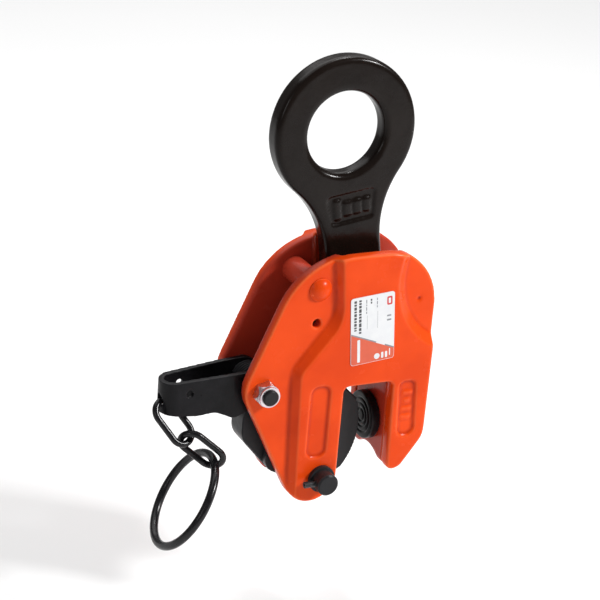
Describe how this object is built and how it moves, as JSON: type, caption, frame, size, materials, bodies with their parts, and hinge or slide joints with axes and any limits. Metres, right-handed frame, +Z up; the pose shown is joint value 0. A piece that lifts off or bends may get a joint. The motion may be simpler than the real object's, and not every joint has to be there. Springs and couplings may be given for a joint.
{
  "type": "plate lifting clamp",
  "caption": "Vertical plate lifting clamp with a swinging lifting eye, a toothed cam driven by links, a swivel jaw pad and a spring lock lever with chain and pull ring.",
  "frame": {"origin": "centre of the lifting eye's bore", "axes": "+Z up along the plate slot, +X from the cam to the swivel jaw, +Y through the eye's bore from the front plate to the rear plate"},
  "size_m": [0.1763, 0.0872, 0.2967],
  "materials": {
    "orange_paint": "gloss enamel, thicker at the rounded edges",
    "eye_lacquer": "gloss black lacquer over a forged skin",
    "blackened_steel": "satin black oxide",
    "zinc_plate": "bright zinc plate",
    "spring_steel": "spring steel",
    "bare_steel": "turned steel",
    "label_film": "printed film"
  },
  "bodies": {
    "frame": {"rear_side_plate": "orange_paint", "front_side_plate": "orange_paint", "jaw_block": "orange_paint", "swivel_jaw_retaining_pin": "bare_steel", "cam_pin": "blackened_steel", "cam_pin_roll_pins": "blackened_steel", "cam_pin_washers": "blackened_steel", "cam_bushes": "bare_steel", "lever_sleeve": "bare_steel", "lever_washers": "bare_steel", "lock_spring": "spring_steel", "lock_bolt": "blackened_steel", "lock_nut": "zinc_plate", "left_spacer_rivet": "orange_paint", "left_spacer_tube": "orange_paint", "right_spacer": "orange_paint", "rating_label": "label_film"},
    "jaw_pad": {"swivel_jaw": "blackened_steel"},
    "eye_slider": {"eye_pin": "bare_steel", "eye_pin_clips": "spring_steel", "eye_spacer_washers": "bare_steel"},
    "eye": {"lifting_eye": "eye_lacquer"},
    "links": {"front_link": "blackened_steel", "rear_link": "blackened_steel"},
    "cam": {"gripping_cam": "blackened_steel", "cam_link_pin": "bare_steel"},
    "lever": {"lock_lever": "blackened_steel", "spring_post": "blackened_steel"},
    "chain_upper": {"upper_chain_link": "blackened_steel"},
    "chain_lower": {"lower_chain_link": "blackened_steel"},
    "ring": {"pull_ring": "blackened_steel"}
  },
  "joints": [
    {"name": "jaw_pad_turn", "type": "hinge", "parent": "frame", "child": "jaw_pad", "pos_m": [0.04, 0, -0.189], "axis": [1, 0, 0], "continuous": true},
    {"name": "eye_slide", "type": "slide", "parent": "frame", "child": "eye_slider", "axis": [0, 0, 1], "range_m": [-0.0144, 0.0043]},
    {"name": "eye_swing", "type": "hinge", "parent": "eye_slider", "child": "eye", "pos_m": [0.01823, 0, -0.11253], "axis": [0, 1, 0], "range_deg": [-2, 22]},
    {"name": "link_swing", "type": "hinge", "parent": "eye_slider", "child": "links", "pos_m": [0.01823, 0, -0.11253], "axis": [0, 1, 0], "range_deg": [-1, 2.5]},
    {"name": "cam_turn", "type": "hinge", "parent": "frame", "child": "cam", "pos_m": [-0.0082, 0, -0.2143], "axis": [0, 1, 0], "range_deg": [-37, 11]},
    {"name": "lever_turn", "type": "hinge", "parent": "frame", "child": "lever", "pos_m": [-0.0486, 0, -0.1534], "axis": [0, 1, 0], "range_deg": [0, 60], "deforming": ["lock_spring"]},
    {"name": "upper_link_swing", "type": "hinge", "parent": "lever", "child": "chain_upper", "pos_m": [-0.1058, 0, -0.1605], "axis": [0, 1, 0], "range_deg": [-1, 14]},
    {"name": "lower_link_swing", "type": "hinge", "parent": "chain_upper", "child": "chain_lower", "pos_m": [-0.09239, -0.01371, -0.18426], "axis": [0.8313, 0.4603, 0.3116], "range_deg": [-10, 30]},
    {"name": "ring_swing", "type": "hinge", "parent": "chain_lower", "child": "ring", "pos_m": [-0.07318, -0.01883, -0.19913], "axis": [0.4462, -0.5586, 0.6992], "range_deg": [-15, 10]}
  ],
  "couplings": [
    {"joint": "cam_turn", "follows": "eye_slide", "rad_per_m": 43.7},
    {"joint": "link_swing", "follows": "eye_slide", "rad_per_m": -2.1}
  ]
}
